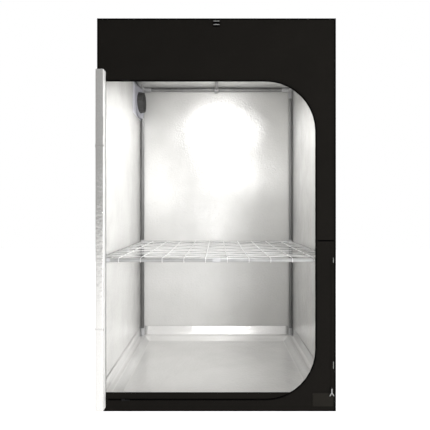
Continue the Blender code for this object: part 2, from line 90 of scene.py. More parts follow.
# Light
ambient = 0.25
sky_share = 0.33
horizon_share = 0.92
horizon_drop = 0.19
glossy_share = 0.82
stage_size = 8
stage_drop = 0.0005
stage_glow = 0.9
stage_grey = 0.5
patch_lamp_y = -0.15
patch_lamp_target_y = 0.6

# Zips
door_corner = 0.25
corner_steps = 24
zip_width = 0.007
tape_thickness = 0.0006
tape_step = 0.012
tape_crown_share = 0.9
tape_side_share = 0.7
coil_pitch = 0.003
coil_width = 0.0032
coil_rise = 0.0009
coil_crown_share = 2 / 3
coil_neck_share = 0.72

# Bare patch, low on the right of the front
blank_left, blank_right = 0.484, 0.588
blank_low, blank_high = 0.024, 0.091
blank_thickness = 0.0006
blank_crown = 0.00096
blank_bevel = 0.0012
blank_seam_inset = 0.003

# Stitches
stitch_length = 0.0032
stitch_pitch = 0.0046
stitch_width = 0.0006
rim_seam_gap = 0.002
door_seam_gaps = (0.003, 0.009)

# Rolled door, as its solid is made
roll_side = 0.0412
roll_cloth = 0.0007
roll_pitch = 0.00132
roll_turns = 13
roll_squareness = 7
roll_points = 24
roll_rows = 36
roll_sway = 0.0008
roll_dent_share = 0.02
roll_shift = 0.0008
roll_slip = 0.004

# Ties round the roll
tie_thickness = 0.001
tie_steps = 56
tie_from, tie_to = 0.4 * math.pi, 1.92 * math.pi

# Net
net_cords = 10
net_pitch = 0.11
net_sag = 0.006
cord_radius = 0.0024
weave_share = 0.45
span_steps = 88
span_inset = 0.02
hook_steps = 10
hook_turn = 1.25 * math.pi
hook_gap = 0.0004
hook_share = 0.5
taper_from, taper_steps = 9, 5
knot_share, knot_width_share, knot_height_share = 1.9, 1.1, 0.85

# Duct sleeve
sleeve_thickness = 0.0012
sleeve_gathers = 16
sleeve_points = 192
sleeve_rows = 14
sleeve_inset = 0.0009
sleeve_hem = 0.0008
sleeve_hem_share = 0.86
sleeve_taper_share = 0.07
sleeve_gather = 0.0018
sleeve_crease = 0.0016

# Duct collar, as its solid is made
collar_radius = 0.12
collar_back = 0.081
collar_lean = 0.0265
collar_cloth = 0.002
collar_cell = 0.008
collar_pucker = 0.0012
collar_puckers = 20
collar_edge = 0.001
pucker_rise = 0.01
pucker_fall = 0.03
patch_level = 0.0011
seam_inset = 0.006
seam_lift = 0.0006
seam_steps = 64
seam_turn = 0.76 * math.pi

# Pale bars on the tabs
bar_thickness = 0.0009
bar_crown_share = 0.8
bar_steps = 12
margin_bar_half = 0.0017
margin_bar_inset = 0.0025
tab_bar_half = 0.0019
tab_bar_reach = 0.015
tab_bar_heights = (1.9628, 1.9455)

# Round edges on the solids that the scene keeps
connector_round = 0.0006
slider_round = 0.0005
tab_round = 0.0003

# Places that the frame gives, and the way out of its front
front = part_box("front_panel")[0].y
outward = Vector((0, -1, 0))
tent_low, tent_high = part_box("floor_panel")[0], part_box("roof_panel")[1]
tent_middle = (tent_low + tent_high) / 2
tent_half = (tent_high - tent_low) / 2
zip_low, zip_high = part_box("door_zip_tape")
patch_low, patch_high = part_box("duct_flange")
sleeve_low, sleeve_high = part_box("duct_sleeve")
port_y = (sleeve_low.y + sleeve_high.y) / 2
port_z = (sleeve_low.z + sleeve_high.z) / 2
port_radius = (sleeve_high.z - sleeve_low.z) / 2
roll_low, roll_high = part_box("door_roll")
roll_x = roll_high.x - roll_side / 2 - roll_shift
roll_y = roll_low.y + roll_side / 2 - roll_pitch / 4
net_bar_low, net_bar_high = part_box("net_bar_front")
net_reach = -(net_bar_low.y + net_bar_high.y) / 2
cord_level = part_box("net")[1].z - cord_radius


# Small mesh helpers


def new_object(name, bm, materials, body, smooth=40):
    """Links a mesh as a piece that rides on a body."""
    mesh = bpy.data.meshes.new(name)
    bm.to_mesh(mesh)
    bm.free()
    for material in materials:
        mesh.materials.append(material)
    mesh.shade_smooth()
    mesh.set_sharp_from_angle(angle=math.radians(smooth))
    obj = bpy.data.objects.new(name, mesh)
    bpy.context.collection.objects.link(obj)
    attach(obj, body)
    return obj


def smoothstep(value):
    """A value from 0 to 1 that starts and ends softly."""
    value = min(max(value, 0.0), 1.0)
    return value * value * (3 - 2 * value)


def orient(bm):
    """Turns every face outwards."""
    bmesh.ops.recalc_face_normals(bm, faces=bm.faces)


def node_mesh(node):
    """A bmesh of a CAD node, with its flat faces whole again."""
    bm = bmesh.new()
    bm.from_mesh(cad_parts[node].data)
    bmesh.ops.remove_doubles(bm, verts=bm.verts, dist=clearance / 10)
    bmesh.ops.dissolve_limit(bm, angle_limit=math.radians(0.5), verts=bm.verts, edges=bm.edges)
    return bm


def slice_mesh(bm, axes, step):
    """Cuts every face by a grid of planes, so that the mesh can bend."""
    for axis in axes:
        places = [vert.co[axis] for vert in bm.verts]
        low, high = min(places), max(places)
        count = max(1, round((high - low) / step))
        normal = Vector((0, 0, 0))
        normal[axis] = 1
        for i in range(1, count):
            place = normal * (low + (high - low) * i / count)
            geometry = bm.verts[:] + bm.edges[:] + bm.faces[:]
            bmesh.ops.bisect_plane(bm, geom=geometry, dist=1e-6, plane_co=place, plane_no=normal)


def ring_faces(bm, rings, close_rings=False, material=0):
    """Faces between rings of corners, with a cap at each end unless the last ring joins the first."""
    pairs = list(zip(rings, rings[1:])) + ([(rings[-1], rings[0])] if close_rings else [])
    for first, second in pairs:
        count = len(first)
        for i in range(count):
            j = (i + 1) % count
            bm.faces.new((first[i], first[j], second[j], second[i])).material_index = material
    if not close_rings:
        for ring in (rings[0][::-1], rings[-1]):
            bm.faces.new(ring).material_index = material


def sweep(bm, path, section, up, scale=None, material=0):
    """Sweeps a section, as points across and up, along a path of points."""
    path = [Vector(point) for point in path]
    last = len(path) - 1
    rings = []
    for i, point in enumerate(path):
        along = (path[min(i + 1, last)] - path[max(i - 1, 0)]).normalized()
        side = along.cross(up).normalized()
        over = side.cross(along).normalized()
        grow = scale(i) if scale else 1
        rings.append([bm.verts.new(point + side * a * grow + over * b * grow) for a, b in section])
    ring_faces(bm, rings, material=material)


def circle(radius, count):
    """Corners of a round section."""
    turns = [2 * math.pi * (i + 0.5) / count for i in range(count)]
    return [(radius * math.cos(turn), radius * math.sin(turn)) for turn in turns]


# Materials


def connect(tree, start, end):
    tree.links.new(start, end)


def math_node(tree, operation, first, second=None):
    node = tree.nodes.new("ShaderNodeMath")
    node.operation = operation
    for socket, value in zip(node.inputs, (first, second)):
        if value is None:
            continue
        if isinstance(value, (int, float)):
            socket.default_value = value
        else:
            connect(tree, value, socket)
    return node.outputs[0]


def thread_height(tree, coordinates, pitch, slanted):
    """Height of a grid of threads at that pitch, straight or on the slant, on faces that face any axis."""
    split = tree.nodes.new("ShaderNodeSeparateXYZ")
    connect(tree, coordinates, split.inputs[0])
    x, y, z = split.outputs
    if slanted:
        total = math_node(tree, "ADD", x, y)
        lines = [
            math_node(tree, "ADD", total, z),
            math_node(tree, "SUBTRACT", total, z),
            math_node(tree, "ADD", math_node(tree, "SUBTRACT", x, y), z),
        ]
    else:
        lines = [x, y, z]
    height = None
    for line in lines:
        wave = math_node(tree, "SINE", math_node(tree, "MULTIPLY", line, math.pi / pitch))
        ridge = math_node(tree, "ABSOLUTE", wave)
        height = ridge if height is None else math_node(tree, "ADD", height, ridge)
    return height


def noise_texture(tree, coordinates, scale, detail, stretch=(1, 1, 1)):
    mapping = tree.nodes.new("ShaderNodeMapping")
    mapping.inputs["Scale"].default_value = stretch
    connect(tree, coordinates, mapping.inputs["Vector"])
    texture = tree.nodes.new("ShaderNodeTexNoise")
    texture.inputs["Scale"].default_value = scale
    texture.inputs["Detail"].default_value = detail
    connect(tree, mapping.outputs[0], texture.inputs["Vector"])
    return texture.outputs["Fac"]


def mixed_colour(tree, factor, low, high, dark, light):
    """A colour between two, as the factor goes from low to high."""
    ramp = tree.nodes.new("ShaderNodeMapRange")
    ramp.inputs["From Min"].default_value = low
    ramp.inputs["From Max"].default_value = high
    connect(tree, factor, ramp.inputs["Value"])
    mix = tree.nodes.new("ShaderNodeMix")
    mix.data_type = "RGBA"
    connect(tree, ramp.outputs[0], mix.inputs["Factor"])
    mix.inputs[6].default_value = (*dark, 1)
    mix.inputs[7].default_value = (*light, 1)
    return mix.outputs[2]


def spread_value(tree, factor, low, high):
    """A value between two, as the factor goes from a quarter to three quarters."""
    ramp = tree.nodes.new("ShaderNodeMapRange")
    ramp.inputs["From Min"].default_value = 0.25
    ramp.inputs["From Max"].default_value = 0.75
    ramp.inputs["To Min"].default_value = low
    ramp.inputs["To Max"].default_value = high
    connect(tree, factor, ramp.inputs["Value"])
    return ramp.outputs[0]


def bump(tree, height, distance, below=None):
    node = tree.nodes.new("ShaderNodeBump")
    node.inputs["Distance"].default_value = distance
    node.inputs["Strength"].default_value = 1.0
    connect(tree, height, node.inputs["Height"])
    if below:
        connect(tree, below, node.inputs["Normal"])
    return node.outputs[0]


def base_material(name):
    """A new material, with its tree, its shader and its object coordinates."""
    material = bpy.data.materials.new(name)
    material.use_nodes = True
    tree = material.node_tree
    shader = tree.nodes["Principled BSDF"]
    place = tree.nodes.new("ShaderNodeTexCoord")
    return material, tree, shader, place.outputs["Object"]


def cloth_material(
    name, dark, light, roughness, pitch, slanted=False, relief=0.0004, metallic=0.0, shine=0.5, crumple=0.0
):
    """Woven cloth or embossed film: colour that varies a little, threads, and broad soft creases."""
    material, tree, shader, place = base_material(name)
    cloud = noise_texture(tree, place, cloud_scale, 5)
    fine = noise_texture(tree, place, thread_scale, 2)
    broad_part = math_node(tree, "MULTIPLY", cloud, 0.7)
    fine_part = math_node(tree, "MULTIPLY", fine, 0.3)
    colour = mixed_colour(tree, math_node(tree, "ADD", broad_part, fine_part), 0.3, 0.7, dark, light)
    connect(tree, colour, shader.inputs["Base Color"])
    spread = spread_value(tree, cloud, roughness - roughness_spread, roughness + roughness_spread)
    connect(tree, spread, shader.inputs["Roughness"])
    shader.inputs["Metallic"].default_value = metallic
    shader.inputs["Specular IOR Level"].default_value = shine
    normal = None
    if crumple:
        normal = bump(tree, noise_texture(tree, place, crease_scale, 4), crumple)
        normal = bump(tree, noise_texture(tree, place, dimple_scale, 3), crumple * grain_share, below=normal)
    normal = bump(tree, thread_height(tree, place, pitch, slanted), relief, below=normal)
    connect(tree, normal, shader.inputs["Normal"])
    return material


def film_material(name, dark, light, relief, crumple, metallic=film_metallic):
    """Embossed reflective film. A roughness that varies across 0.27 would show as outlined marks."""
    return cloth_material(
        name, dark, light, film_roughness, film_pitch,
        slanted=True, relief=relief, metallic=metallic, crumple=crumple
    )


def painted_material(name, dark, light, roughness, metallic, grain=0.00008, stretch=(1, 1, 1), shine=0.5):
    """Paint, enamel or moulded plastic, with faint grain and worn patches."""
    material, tree, shader, place = base_material(name)
    cloud = noise_texture(tree, place, worn_scale, 5, stretch)
    connect(tree, mixed_colour(tree, cloud, 0.35, 0.65, dark, light), shader.inputs["Base Color"])
    spread = spread_value(tree, cloud, roughness + roughness_spread, roughness - roughness_spread)
    connect(tree, spread, shader.inputs["Roughness"])
    shader.inputs["Metallic"].default_value = metallic
    shader.inputs["Specular IOR Level"].default_value = shine
    fine = noise_texture(tree, place, paint_grain_scale, 2)
    connect(tree, bump(tree, fine, grain), shader.inputs["Normal"])
    return material


black = cloth_material(
    "black_oxford", (0.0066, 0.006, 0.0052), (0.0082, 0.0074, 0.0064), 0.6, 0.0016, shine=0.04
)
lining = film_material("reflective_film", (0.7, 0.695, 0.68), (0.77, 0.765, 0.75), 0.0002, 0.003)
# Copies of the lining's film for the tray: a paler one is painted light on its floor and front and back lips,
# and a darker one is painted shade on its side lips and slopes.
tray_film_painted_light = film_material("tray_film_painted_light", (0.79, 0.783, 0.77), (0.86, 0.853, 0.84), 0.0001, 0.0022)
lip_film_painted_shade = film_material("lip_film_painted_shade", (0.66, 0.655, 0.644), (0.73, 0.724, 0.713), 0.0001, 0.0022)
roll_film = film_material(
    "rolled_film", (0.8, 0.79, 0.765), (0.87, 0.86, 0.84), 0.00006, 0.0015, metallic=rolled_metallic
)
binding_cloth = cloth_material(
    "binding_cloth", (0.0008, 0.0008, 0.0008), (0.0014, 0.0014, 0.0013), 0.7, 0.0011, shine=0.03
)
zip_tape_cloth = cloth_material(
    "zip_tape_cloth", (0.0005, 0.0005, 0.0005), (0.001, 0.001, 0.001), 0.8, 0.0009, shine=0.01
)
coil_plastic = painted_material(
    "coil_plastic", (0.0008, 0.0008, 0.0008), (0.0015, 0.0015, 0.0015), 0.6, 0.0, shine=0.02
)
thread = cloth_material("thread", (0.003, 0.003, 0.003), (0.006, 0.0056, 0.0052), 0.6, 0.0006, shine=0.04)
pale_thread = cloth_material("pale_thread", (0.4, 0.4, 0.41), (0.55, 0.55, 0.56), 0.5, 0.0006)
enamel = painted_material("black_enamel", (0.006, 0.006, 0.006), (0.012, 0.012, 0.012), 0.45, 0.0, shine=0.04)
pull_enamel = painted_material("pull_enamel", (0.3, 0.3, 0.3), (0.5, 0.5, 0.49), 0.38, 0.7)
tube_paint = painted_material(
    "tube_paint", (0.17, 0.17, 0.168), (0.23, 0.23, 0.227), 0.36, 0.7, stretch=(1, 1, 0.2)
)
bar_paint = painted_material("bar_paint", (0.36, 0.36, 0.357), (0.42, 0.42, 0.416), 0.4, 0.4)
connector_plastic = painted_material(
    "moulded_connector", (0.42, 0.42, 0.427), (0.5, 0.5, 0.507), 0.45, 0.0, grain=0.0002
)
cord_cloth = cloth_material("braided_cord", (0.86, 0.86, 0.85), (0.93, 0.93, 0.92), 0.6, 0.0018, slanted=True)
pale_cloth = cloth_material("pale_webbing", (0.2, 0.2, 0.195), (0.27, 0.27, 0.262), 0.7, 0.001)
tie_cloth = cloth_material(
    "tie_webbing", (0.76, 0.75, 0.73), (0.82, 0.81, 0.79), film_roughness, 0.0012,
    relief=0.00004, metallic=rolled_metallic
)
# Duller matt copy of the rolled film for the roll's sides: painted light and shade, which the lamps show as a
# bright right strip and a grey left edge.
side_light_and_shade_cloth = cloth_material("roll_side_light_and_shade", (0.62, 0.615, 0.605), (0.7, 0.695, 0.685), 0.6, 0.0012)
flange_cloth = cloth_material("flange_cloth", (0.33, 0.33, 0.375), (0.42, 0.42, 0.465), 0.55, 0.0014)
patch_cloth = cloth_material("patch_cloth", (0.55, 0.55, 0.6), (0.64, 0.64, 0.69), 0.5, 0.0014)
sleeve_cloth = cloth_material(
    "sleeve_cloth", (0.045, 0.044, 0.043), (0.07, 0.069, 0.067), 0.6, 0.0014, crumple=0.006
)
patch_fabric = cloth_material(
    "blank_patch", (0.0125, 0.0115, 0.0095), (0.0165, 0.015, 0.0125), 0.6, 0.0012, shine=0.06
)


# Cloth panels


def billow(bm, axis, way, depth, seed, keep=None):
    """Moves both faces of a panel along an axis in soft folds that die away at its rim."""
    across = [i for i in range(3) if i != axis]
    low = [min(vert.co[i] for vert in bm.verts) for i in across]
    high = [max(vert.co[i] for vert in bm.verts) for i in across]
    for vert in bm.verts:
        u, v = (vert.co[i] for i in across)
        rim = min(u - low[0], high[0] - u, v - low[1], high[1] - v)
        fade = smoothstep(rim / billow_margin)
        if keep:
            fade *= keep(vert.co)
        broad = noise.noise(Vector((u * 2.6 + seed, v * 1.4, seed)))
        folds = noise.noise(Vector((u * 9 + seed, v * 2.5, 7.0 + seed)))
        small = noise.noise(Vector((u * 14, v * 12 + seed, 3.0)))
        vert.co[axis] += way * depth * fade * (0.5 + 0.45 * broad + 0.3 * folds + 0.15 * small)


def line_inside(bm, axis):
    """Gives a panel's broad face that looks into the tent the lining, and the others the black cloth."""
    bm.normal_update()
    for face in bm.faces:
        looks_in = face.normal.dot(tent_middle - face.calc_center_median()) > 0
        broad = abs(face.normal[axis]) > 0.8
        face.material_index = 1 if looks_in and broad else 0


def cloth_panel(node, name, axis, way, depth, seed, keep=None):
    bm = node_mesh(node)
    slice_mesh(bm, [i for i in range(3) if i != axis], cell)
    line_inside(bm, axis)
    billow(bm, axis, way, depth, seed, keep)
    obj = new_object(name, bm, (black, lining), "tent")
    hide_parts(node)


def front_keep(point):
    """The front stays flat round the opening and its zips, and moves only above them."""
    return smoothstep((point.z - zip_high.z - header_still) / header_fade)


def wall_keep(point):
    """The left wall stays flat round its duct port."""
    away = max(patch_low.y - point.y, patch_low.z - point.z)
    return smoothstep(away / port_fade)


def make_panels():
    cloth_panel("front_panel", "front_cloth", 1, -1, front_billow, 1.7, front_keep)
    cloth_panel("back_panel", "back_cloth", 1, 1, wall_billow, 4.1)
    cloth_panel("left_panel", "left_cloth", 0, -1, wall_billow, 8.3, keep=wall_keep)
    cloth_panel("right_panel", "right_cloth", 0, 1, wall_billow, 12.9)
    cloth_panel("roof_panel", "roof_cloth", 2, 1, wall_billow, 17.2)
    cloth_panel("floor_panel", "floor_cloth", 2, 1, 0, 21.0)


def make_tray():
    """The tray's sheet lies in slight waves inside its lip. Its film is a paler copy of the lining's, as
    painted light, and the lips and slopes at its sides take a darker, duller copy, as painted shade.
    """
    bm = node_mesh("floor_tray")
    slice_mesh(bm, (0, 1), cell)
    low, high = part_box("floor_tray")
    bm.normal_update()
    for face in bm.faces:
        inward = Vector((0, 0, high.z * 2)) - face.calc_center_median()
        looks_in = face.normal.dot(inward) > 0
        # Faces that look left or right take the darker copy of the film, which is painted shade. The rest
        # take the paler copy, which is painted light.
        film = 2 if abs(face.normal.x) > 0.5 else 1
        face.material_index = film if looks_in else 0
    for vert in bm.verts:
        rim = min(vert.co.x - low.x, high.x - vert.co.x, vert.co.y - low.y, high.y - vert.co.y)
        fade = smoothstep((rim - tray_rim) / tray_rim)
        broad = noise.noise(Vector((vert.co.x * 4, vert.co.y * 4, 31.0)))
        small = noise.noise(Vector((vert.co.x * 13, vert.co.y * 11, 37.0)))
        vert.co.z += floor_billow * fade * (0.6 + 0.5 * broad + 0.4 * small)
    obj = new_object("tray_cloth", bm, (black, tray_film_painted_light, lip_film_painted_shade), "tent")
    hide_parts("floor_tray")


# Binding and stitches


def binding_section():
    """An L that laps an edge, as points out from the two faces that meet there."""
    outer, inner = clearance + binding_thickness, clearance
    round_off = binding_thickness * binding_round_share
    return [
        (-binding_width, inner),
        (-binding_width, outer),
        (outer - round_off, outer),
        (outer, outer - round_off),
        (outer, -binding_width),
        (inner, -binding_width),
        (inner, inner),
    ]


def binding_ring(bm, axis, share, ways, ripple):
    """The tape's section at a share of the way along one of the skin's edges."""
    sides = ((axis + 1) % 3, (axis + 2) % 3)
    ring = []
    for reaches in binding_section():
        point = Vector((0, 0, 0))
        point[axis] = tent_middle[axis] + tent_half[axis] * (2 * share - 1)
        for side, way, reach in zip(sides, ways, reaches):
            lap = ripple if reach < 0 else 1
            point[side] = tent_middle[side] + way * (tent_half[side] + reach * lap)
        ring.append(bm.verts.new(point))
    return ring


def make_binding():
    """A folded tape laps each of the skin's outer edges."""
    bm = bmesh.new()
    for axis in range(3):
        for ways in ((-1, -1), (-1, 1), (1, -1), (1, 1)):
            rings = []
            for i in range(binding_steps + 1):
                wave = noise.noise(Vector((i * 0.9, axis * 5 + ways[0], ways[1])))
                ring = binding_ring(bm, axis, i / binding_steps, ways, 1 + binding_ripple_share * wave)
                rings.append(ring if ways[0] == ways[1] else ring[::-1])
            ring_faces(bm, rings)
    orient(bm)
    # The tape under the tent would lie below the ground, so it stops there.
    for vert in bm.verts:
        vert.co.z = max(vert.co.z, tent_low.z)
    new_object("edge_binding", bm, (binding_cloth,), "tent", 60)


def stitch(bm, place, along, out):
    """One stitch: a short lens of thread that stands a little out of the cloth."""
    side = along.cross(out).normalized() * stitch_width / 2
    half = along * stitch_length / 2
    lift = out * stitch_width
    ends = [bm.verts.new(place - half), bm.verts.new(place + half)]
    ring = [bm.verts.new(place + offset) for offset in (side, lift, -side, -lift * 0.3)]
    for i in range(4):
        j = (i + 1) % 4
        bm.faces.new((ends[0], ring[j], ring[i]))
        bm.faces.new((ends[1], ring[i], ring[j]))


def stitch_line(bm, points, out):
    """Stitches at an even pitch along a line of points."""
    points = [Vector(point) for point in points]
    left = stitch_pitch / 2
    for start, end in zip(points, points[1:]):
        length = (end - start).length
        if length < 1e-6:
            continue
        along = (end - start) / length
        while left < length:
            stitch(bm, start + along * left, along, out)
            left += stitch_pitch
        left -= length


def opening_path(grow):
    """The zip's line round the opening, from its upper open end to its lower one, in the front plane."""
    corner = door_corner + grow
    right = zip_high.x - zip_width + grow
    top, bottom = zip_high.z - zip_width + grow, zip_low.z + zip_width - grow
    points = [(zip_low.x, top)]
    for centre_z, turn_from in ((top - corner, math.pi / 2), (bottom + corner, 0)):
        for i in range(corner_steps + 1):
            turn = turn_from - math.pi / 2 * i / corner_steps
            points.append((right - corner + corner * math.cos(turn), centre_z + corner * math.sin(turn)))
    points.append((zip_low.x, bottom))
    return points


def make_front_stitches():
    """A row of stitches inside the front's rim, and two rows round the door's zip."""
    bm = bmesh.new()
    y = front - clearance
    inset = binding_width + rim_seam_gap
    x, low, high = tent_high.x - inset, tent_low.z + inset, tent_high.z - inset
    stitch_line(bm, [(-x, y, low), (-x, y, high), (x, y, high), (x, y, low), (-x, y, low)], outward)
    for gap in door_seam_gaps:
        stitch_line(bm, [(px, y, pz) for px, pz in opening_path(zip_width + gap)], outward)
    new_object("front_stitches", bm, (thread,), "tent")


def blank_corners(out, inset):
    """Corners of the bare patch, raised off the front and moved in from its edges."""
    y = front - clearance - out
    left, right = blank_left + inset, blank_right - inset
    low, high = blank_low + inset, blank_high - inset
    return [(left, y, low), (right, y, low), (right, y, high), (left, y, high)]


def make_blank_patch():
    """A bare stitched patch low on the right of the front."""
    bm = bmesh.new()
    rings = []
    for out, inset in ((0, 0), (blank_thickness, 0), (blank_crown, blank_bevel)):
        rings.append([bm.verts.new(corner) for corner in blank_corners(out, inset)])
    ring_faces(bm, rings)
    orient(bm)
    new_object("blank_patch", bm, (patch_fabric,), "tent")
    bm = bmesh.new()
    seam = blank_corners(blank_crown, blank_seam_inset)
    stitch_line(bm, seam + seam[:1], outward)
    new_object("patch_stitches", bm, (thread,), "tent")


# Zips


def resampled(points, step):
    """The same line, with points at an even step."""
    line = np.array(points, float)
    along = np.concatenate([[0], np.cumsum(np.linalg.norm(np.diff(line, axis=0), axis=1))])
    at = np.linspace(0, along[-1], max(2, round(along[-1] / step) + 1))
    return list(zip(*(np.interp(at, along, column) for column in line.T)))


def coil_strip(bm, points, y):
    """A zip's coil: a narrow strip that swells at each turn of the coil."""
    path = [(x, y, z) for x, z in resampled(points, coil_pitch / 2)]
    half = coil_width / 2
    crown = half * coil_crown_share
    section = [(-half, 0), (-crown, coil_rise), (crown, coil_rise), (half, 0)]
    sweep(bm, path, section, up=outward, scale=lambda i: 1.0 if i % 2 else coil_neck_share, material=1)


def tape_strip(bm, points, y):
    """A zip's tape, with soft edges."""
    path = [(x, y, z) for x, z in resampled(points, tape_step)]
    half, crown = zip_width / 2, zip_width / 2 * tape_crown_share
    side = tape_thickness * tape_side_share
    left = [(-half, 0), (-half, side), (-crown, tape_thickness)]
    section = left + [(-across, rise) for across, rise in left[::-1]]
    sweep(bm, path, section, up=outward)


def zip_strip(bm, points):
    """A zip's tape with its coil on top, along a line in the front plane."""
    y = front - clearance
    tape_strip(bm, points, y)
    coil_strip(bm, points, y - tape_thickness)


def make_door_zip():
    bm = bmesh.new()
    zip_strip(bm, opening_path(zip_width / 2))
    orient(bm)
    obj = new_object("door_zip", bm, (zip_tape_cloth, coil_plastic), "tent")
    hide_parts("door_zip_tape")


def make_margin_zip():
    """The L-shaped zip on the margin, whose upright run hardly shows against the cloth."""
    low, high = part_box("margin_zip_tape")
    slider_low, slider_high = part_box("margin_zip_slider")
    x = (slider_low.x + slider_high.x) / 2
    top = high.z - zip_width / 2
    level_from = top - zip_width / 2
    bm = bmesh.new()
    zip_strip(bm, [(x, low.z), (x, level_from)])
    zip_strip(bm, [(low.x, top), (high.x, top)])
    orient(bm)
    for face in bm.faces:
        if face.calc_center_median().z < level_from:
            face.material_index = 2
    obj = new_object("margin_zip", bm, (zip_tape_cloth, coil_plastic, black), "tent")
    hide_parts("margin_zip_tape")


# Rolled door


def squared(value):
    """A sine or cosine, bent so that a circle turns into a square with round corners."""
    return math.copysign(abs(value) ** (2 / roll_squareness), value) if abs(value) > 1e-9 else 0.0


def roll_bend(turn, z):
    """How the roll sways and dents with height: a shift of its middle and a share of its reach."""
    sway_x = roll_sway * noise.noise(Vector((z * 2.3, 51.0, 0)))
    sway_y = roll_sway * noise.noise(Vector((z * 2.9, 57.0, 0)))
    dent = noise.noise(Vector((math.cos(turn) * 0.8, math.sin(turn) * 0.8, z * 7))) * 0.7
    dent += noise.noise(Vector((math.cos(turn) * 1.6, math.sin(turn) * 1.6, z * 19))) * 0.3
    return sway_x, sway_y, 1 - roll_dent_share * (0.5 + 0.5 * dent)


def roll_line(z):
    """Middle line of the rolled cloth at a height, from its core out to the seam."""
    outer = (roll_side - roll_cloth) / 2
    count = roll_turns * roll_points
    points = []
    for i in range(count + 1):
        turn = 2 * math.pi * (i % roll_points) / roll_points
        reach = outer - roll_pitch * (count - i) / roll_points
        sway_x, sway_y, share = roll_bend(turn, z)
        x = roll_x + sway_x + reach * share * squared(math.cos(turn))
        y = roll_y + sway_y + reach * share * squared(math.sin(turn))
        points.append(Vector((x, y)))
    seam = Vector((roll_x + outer, front - clearance - roll_cloth / 4))
    points.append(points[-1].lerp(seam, 0.5))
    points.append(seam)
    return points


def roll_row(bm, line, z, share):
    """Both sides of the cloth at a share of the roll's height. Its two ends slip in by turns."""
    end = max(0.0, abs(2 * share - 1) * roll_rows - (roll_rows - 2)) / 2
    inward = -1 if share > 0.5 else 1
    last = len(line) - 1
    left, right = [], []
    for i, point in enumerate(line):
        along = (line[min(i + 1, last)] - line[max(i - 1, 0)]).normalized()
        side = Vector((-along.y, along.x)) * roll_cloth / 2
        height = z + inward * roll_slip * end * abs(noise.noise(Vector((i * 0.05, share * 9, 71.0))))
        left.append(bm.verts.new((point.x + side.x, point.y + side.y, height)))
        right.append(bm.verts.new((point.x - side.x, point.y - side.y, height)))
    return left, right


def roll_faces(bm, rows):
    """Film on the cloth's outer side, black on its inner side, and film on its edges."""
    for (left_a, right_a), (left_b, right_b) in zip(rows, rows[1:]):
        for i in range(len(left_a) - 1):
            bm.faces.new((left_a[i], left_b[i], left_b[i + 1], left_a[i + 1])).material_index = 1
            bm.faces.new((right_a[i], right_a[i + 1], right_b[i + 1], right_b[i]))
        for i in (0, -1):
            bm.faces.new((left_a[i], right_a[i], right_b[i], left_b[i]))
    for left, right in (rows[0], rows[-1]):
        for i in range(len(left) - 1):
            bm.faces.new((left[i], left[i + 1], right[i + 1], right[i]))


def make_roll():
    """The rolled cloth, a spiral all the way in. A duller matt copy of its film goes on the faces that look
    right and on its left corner, as painted light and shade: the lamps light it to a bright strip on the
    right and a grey edge on the left.
    """
    bm = bmesh.new()
    height = roll_high.z - roll_low.z
    rows = []
    for row in range(roll_rows + 1):
        share = row / roll_rows
        z = roll_low.z + height * share
        line = roll_line(z)
        rows.append(roll_row(bm, line, z, share))
    roll_faces(bm, rows)
    orient(bm)
    bm.normal_update()
    half = (roll_side / 2 - roll_cloth) * (1 - roll_dent_share) - roll_sway
    # Faces are picked by which way they look, for the matt copy that gives painted light on the right side
    # and painted shade on the left corner.
    for face in bm.faces:
        x = face.calc_center_median().x
        lit_right_side = face.normal.x > 0.6 and x > roll_x + half
        shaded_left_corner = -0.95 < face.normal.x < -0.25 and x < roll_x - half
        if lit_right_side or shaded_left_corner:
            face.material_index = 2
    obj = new_object("rolled_door", bm, (roll_film, black, side_light_and_shade_cloth), "door", 50)
    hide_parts("door_roll")


def tie_ring(bm, turn, low, high):
    """The tie's section where it lies on the roll's outline, kept off the front panel."""
    reach = roll_side / 2 + clearance + tie_thickness / 2
    sway_x, sway_y, _ = roll_bend(turn, (low + high) / 2)
    x = roll_x + sway_x * 0.5 + reach * squared(math.cos(turn))
    y = roll_y + sway_y * 0.5 + reach * squared(math.sin(turn))
    out_x, out_y = math.cos(turn) * tie_thickness / 2, math.sin(turn) * tie_thickness / 2
    ring = []
    for way, z in ((-1, low), (1, low), (1, high), (-1, high)):
        ring.append(bm.verts.new((x + out_x * way, min(y + out_y * way, front - clearance), z)))
    return ring


def make_ties():
    """Each tie follows the roll's outline at its height, from behind it round to its right side."""
    for name in ("door_tie_upper", "door_tie_lower"):
        low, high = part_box(name)
        bm = bmesh.new()
        turns = [tie_from + (tie_to - tie_from) * i / tie_steps for i in range(tie_steps + 1)]
        ring_faces(bm, [tie_ring(bm, turn, low.z, high.z) for turn in turns])
        orient(bm)
        obj = new_object(name.replace("door_tie", "webbing_tie"), bm, (tie_cloth,), "door")
        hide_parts(name)


# Net


def sag(x, y):
    """How far the net hangs down between its bars."""
    return -net_sag * max(0.0, 1 - (x / net_reach) ** 2) * max(0.0, 1 - (y / net_reach) ** 2)


def bar_hook(way):
    """The tie round a bar, from the net down to its free end, as points along and up."""
    middle = (net_bar_low.z + net_bar_high.z) / 2
    radius = (net_bar_high.z - net_bar_low.z) / 2 + hook_gap + cord_radius * hook_share
    turns = [hook_turn * i / hook_steps for i in range(hook_steps + 1)]
    return [(way * (net_reach + radius * math.sin(turn)), middle + radius * math.cos(turn)) for turn in turns]


def woven_span(across, first_way):
    """A cord between its bars, over and under the cords that cross it, as points along and up."""
    start = -net_reach + span_inset
    points = []
    for i in range(span_steps + 1):
        along = start - 2 * start * i / span_steps
        weave = first_way * math.cos(math.pi * along / net_pitch - math.pi / 2)
        points.append((along, cord_level + sag(along, across) + weave * cord_radius * weave_share))
    return points


def cord_share(i, last):
    """A cord's thickness at one of its points: whole over the net, and thin in the ties at its ends."""
    return hook_share + (1 - hook_share) * smoothstep((min(i, last - i) - taper_from) / taper_steps)


